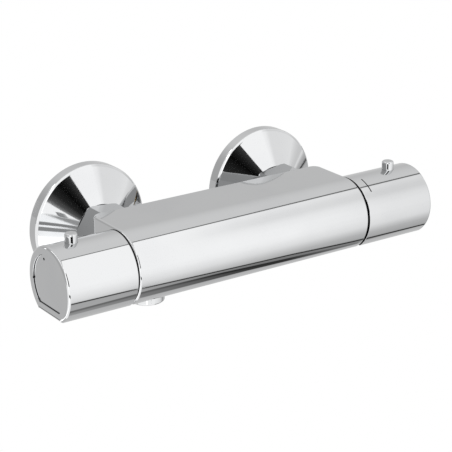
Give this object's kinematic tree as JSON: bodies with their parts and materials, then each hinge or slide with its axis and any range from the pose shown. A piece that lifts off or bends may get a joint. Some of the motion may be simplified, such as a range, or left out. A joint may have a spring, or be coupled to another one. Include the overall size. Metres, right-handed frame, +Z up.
{
  "type": "thermostatic shower valve",
  "caption": "Chrome bar shower valve for a wall connection, with a flow handle, a temperature handle, wall rosettes and a hose outlet underneath.",
  "frame": {"origin": "on the finished wall plane, midway between the two wall threads", "axes": "X along the bar towards the temperature handle, Y into the wall, Z up"},
  "size_m": [0.305, 0.1215, 0.0876],
  "materials": {
    "chrome": "polished chrome plate",
    "brass": "machined brass, unplated",
    "steel": "stainless steel",
    "spring_steel": "drawn stainless spring wire",
    "ceramic": "ground alumina ceramic, stated as hard gloss plastic",
    "seal_rubber": "black EPDM rubber",
    "foam": "closed-cell foam rubber",
    "fibre": "pressed fibre gasket, stated as matte plastic",
    "white_plastic": "white acetal",
    "grey_plastic": "grey glass-filled plastic",
    "black_plastic": "black plastic",
    "copper": "copper wax capsule"
  },
  "bodies": {
    "valve": {"valve_body": "chrome", "outlet_bush": "chrome", "outlet_washer": "seal_rubber", "outlet_seal": "seal_rubber", "wall_seals": "foam", "union_gaskets": "fibre", "check_seals": "seal_rubber", "flow_glide_ring": "white_plastic", "flow_stop_ring": "grey_plastic", "flow_cartridge_housing": "brass", "flow_cartridge_nut": "brass", "fixed_disc": "ceramic", "disc_seal": "seal_rubber", "flow_cartridge_seals": "seal_rubber", "temp_glide_ring": "white_plastic", "temp_stop_ring": "grey_plastic", "thermostat_housing": "black_plastic", "thermostat_nut": "brass", "return_spring": "spring_steel", "thermostat_seals": "seal_rubber", "hot_wall_union": "brass", "hot_rosette": "chrome", "hot_union_nut": "chrome", "hot_inlet_connector": "brass", "hot_strainer": "white_plastic", "hot_check_housing": "white_plastic", "hot_check_spring": "spring_steel", "cold_wall_union": "brass", "cold_rosette": "chrome", "cold_union_nut": "chrome", "cold_inlet_connector": "brass", "cold_strainer": "white_plastic", "cold_check_housing": "white_plastic", "cold_check_spring": "spring_steel"},
    "flow_control": {"flow_handle": "chrome", "flow_end_cap": "chrome", "flow_carrier": "grey_plastic", "flow_carrier_screw": "steel", "flow_spindle": "brass", "flow_spindle_seals": "seal_rubber", "rotating_disc": "ceramic", "flow_button_spring": "spring_steel"},
    "temperature_control": {"temp_handle": "chrome", "temp_end_cap": "chrome", "temp_carrier": "grey_plastic", "temp_carrier_screw": "steel", "temp_spindle": "brass", "temp_spindle_seals": "seal_rubber", "temp_button_spring": "spring_steel"},
    "mixing_unit": {"mixing_shuttle": "white_plastic", "wax_element": "copper", "push_sleeve": "white_plastic", "overload_plunger": "steel", "overload_spring": "spring_steel"},
    "flow_button_body": {"flow_button": "chrome"},
    "temperature_button_body": {"temp_button": "chrome"},
    "hot_check_body": {"hot_check_poppet": "black_plastic"},
    "cold_check_body": {"cold_check_poppet": "black_plastic"}
  },
  "joints": [
    {"name": "flow_turn", "type": "hinge", "parent": "valve", "child": "flow_control", "pos_m": [0, -0.0814, 0.0004], "axis": [1, 0, 0], "range_deg": [0, 90]},
    {"name": "temp_turn", "type": "hinge", "parent": "valve", "child": "temperature_control", "pos_m": [0, -0.0814, 0.0004], "axis": [1, 0, 0], "range_deg": [-150, 65]},
    {"name": "shuttle_slide", "type": "slide", "parent": "valve", "child": "mixing_unit", "axis": [1, 0, 0], "range_m": [-0.0006, 0.0006], "deforming": ["return_spring"]},
    {"name": "flow_button_push", "type": "slide", "parent": "flow_control", "child": "flow_button_body", "axis": [0, 0, -1], "range_m": [0, 0.0025], "stiffness_N_per_m": 800, "springref_m": -0.003, "deforming": ["flow_button_spring"]},
    {"name": "temp_button_push", "type": "slide", "parent": "temperature_control", "child": "temperature_button_body", "axis": [0, 0, -1], "range_m": [0, 0.0025], "stiffness_N_per_m": 800, "springref_m": -0.003, "deforming": ["temp_button_spring"]},
    {"name": "hot_check_open", "type": "slide", "parent": "valve", "child": "hot_check_body", "axis": [0, -1, 0], "range_m": [0, 0.0025], "stiffness_N_per_m": 150, "springref_m": -0.003, "deforming": ["hot_check_spring"]},
    {"name": "cold_check_open", "type": "slide", "parent": "valve", "child": "cold_check_body", "axis": [0, -1, 0], "range_m": [0, 0.0025], "stiffness_N_per_m": 150, "springref_m": -0.003, "deforming": ["cold_check_spring"]}
  ],
  "couplings": [
    {"joint": "shuttle_slide", "follows": "temp_turn", "m_per_rad": 0.00019894}
  ]
}
